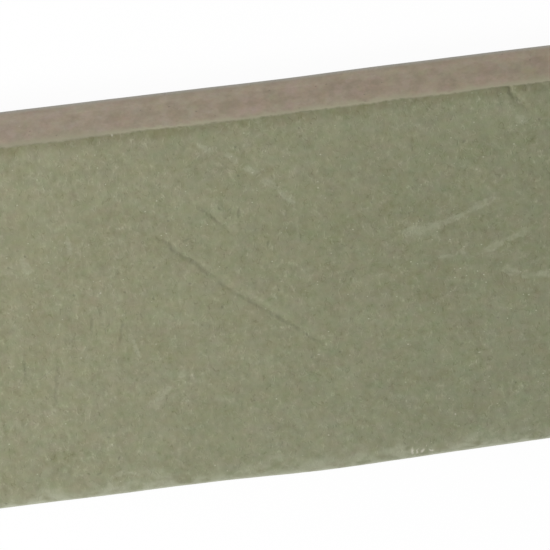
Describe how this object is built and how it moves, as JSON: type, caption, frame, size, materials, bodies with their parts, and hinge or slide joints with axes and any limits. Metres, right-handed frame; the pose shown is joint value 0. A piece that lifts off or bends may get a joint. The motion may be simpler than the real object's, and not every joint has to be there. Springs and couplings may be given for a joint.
{
  "type": "ceramic tile",
  "caption": "Long brick-format ceramic wall tile with a matt green glazed face, rolled face edges, bare brown sides and a keyed back for adhesive.",
  "frame": {"origin": "centre of the back, on the surface that the tile lies on", "axes": "+X along the tile's length, +Y across its width, +Z through its thickness from the back to the glazed face"},
  "size_m": [0.3, 0.075, 0.009],
  "materials": {
    "glazed_tile": "matt moss green glaze with a fine grain on the face, over a bare matt brown body on the sides and back"
  },
  "bodies": {
    "root": {"tile": "glazed_tile"}
  },
  "joints": []
}
